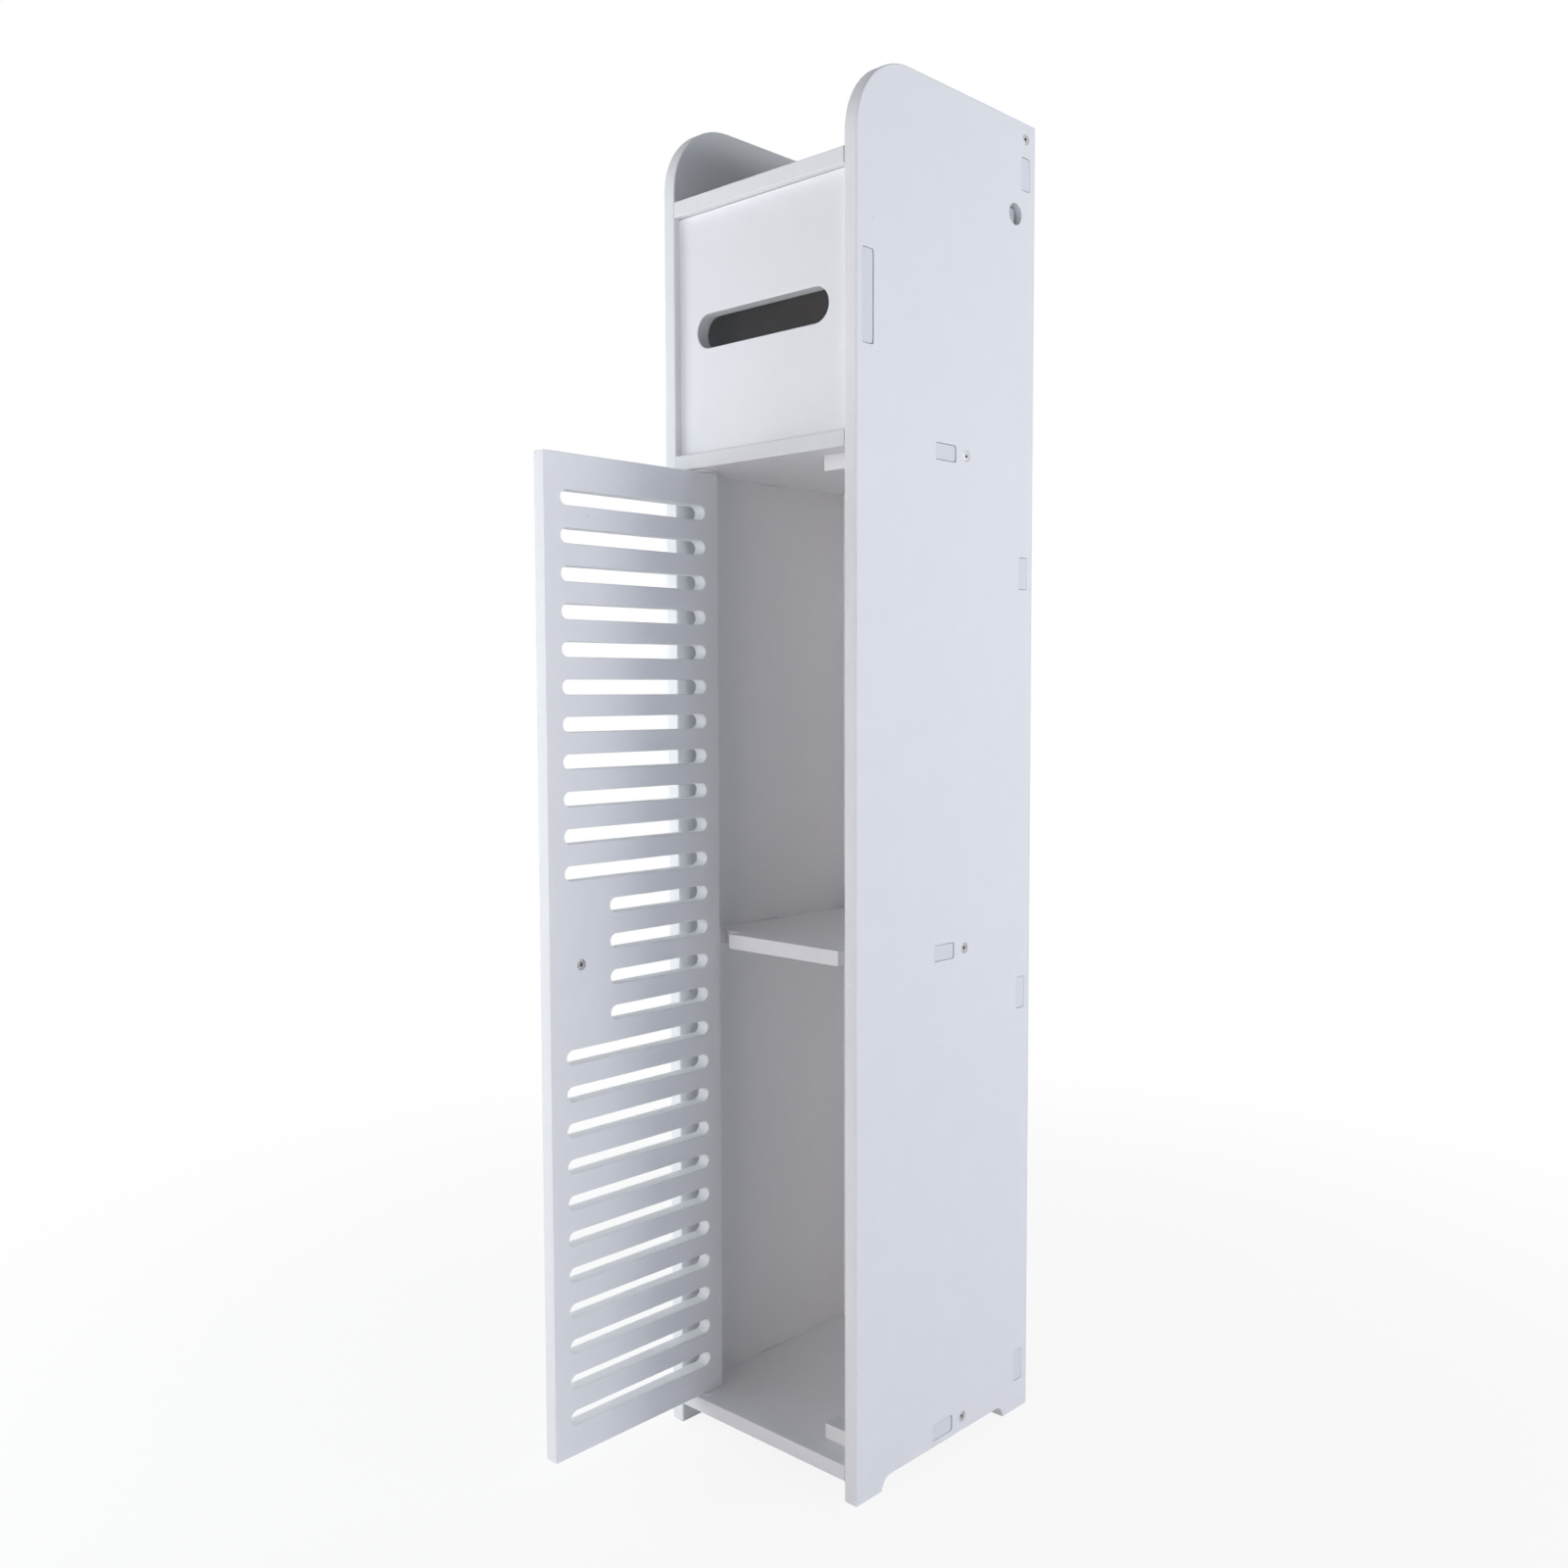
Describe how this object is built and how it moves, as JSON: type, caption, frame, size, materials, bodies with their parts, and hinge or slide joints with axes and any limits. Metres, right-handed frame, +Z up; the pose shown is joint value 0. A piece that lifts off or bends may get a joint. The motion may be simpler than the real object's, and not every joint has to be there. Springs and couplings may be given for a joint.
{
  "type": "bathroom cabinet",
  "caption": "Slim free-standing bathroom side cabinet in white board: lidded tissue compartment with a front slot, shelved bay and a slotted door.",
  "frame": {"origin": "on the floor, in the middle of the carcass's footprint of 152 by 168 mm", "axes": "+Z up, +X to the right as seen from the front, +Y towards the back; the doorway faces -Y"},
  "size_m": [0.1528, 0.279, 0.8],
  "materials": {
    "white_board": "satin white foamed board with softly rounded edges",
    "door_board": "satin white foamed board with cut slots",
    "block_board": "sawn white foamed board",
    "pivot_plastic": "smooth white moulded plastic",
    "knob_plastic": "glossy white moulded plastic",
    "screw_steel": "zinc-plated steel"
  },
  "bodies": {
    "carcass": {"side_panel_right": "white_board", "side_panel_left": "white_board", "back_panel": "white_board", "bottom_board": "white_board", "middle_shelf": "white_board", "divider_board": "white_board", "tissue_front": "white_board", "stop_block_top": "block_board", "stop_block_bottom": "block_board", "divider_screws": "screw_steel", "shelf_screws": "screw_steel", "bottom_board_screws": "screw_steel", "back_panel_screws": "screw_steel"},
    "door": {"door": "door_board", "door_pin_top": "pivot_plastic", "door_pin_bottom": "pivot_plastic", "door_washer_top": "pivot_plastic", "door_washer_bottom": "pivot_plastic", "knob": "knob_plastic", "knob_screw": "screw_steel"},
    "lid": {"lid": "white_board"}
  },
  "joints": [
    {"name": "door_hinge", "type": "hinge", "parent": "carcass", "child": "door", "pos_m": [-0.05629, -0.0725, 0.3], "axis": [0, 0, 1], "range_deg": [-25, 90]},
    {"name": "lid_hinge", "type": "hinge", "parent": "carcass", "child": "lid", "pos_m": [0, 0.063, 0.744], "axis": [-1, 0, 0], "range_deg": [0, 90]}
  ]
}
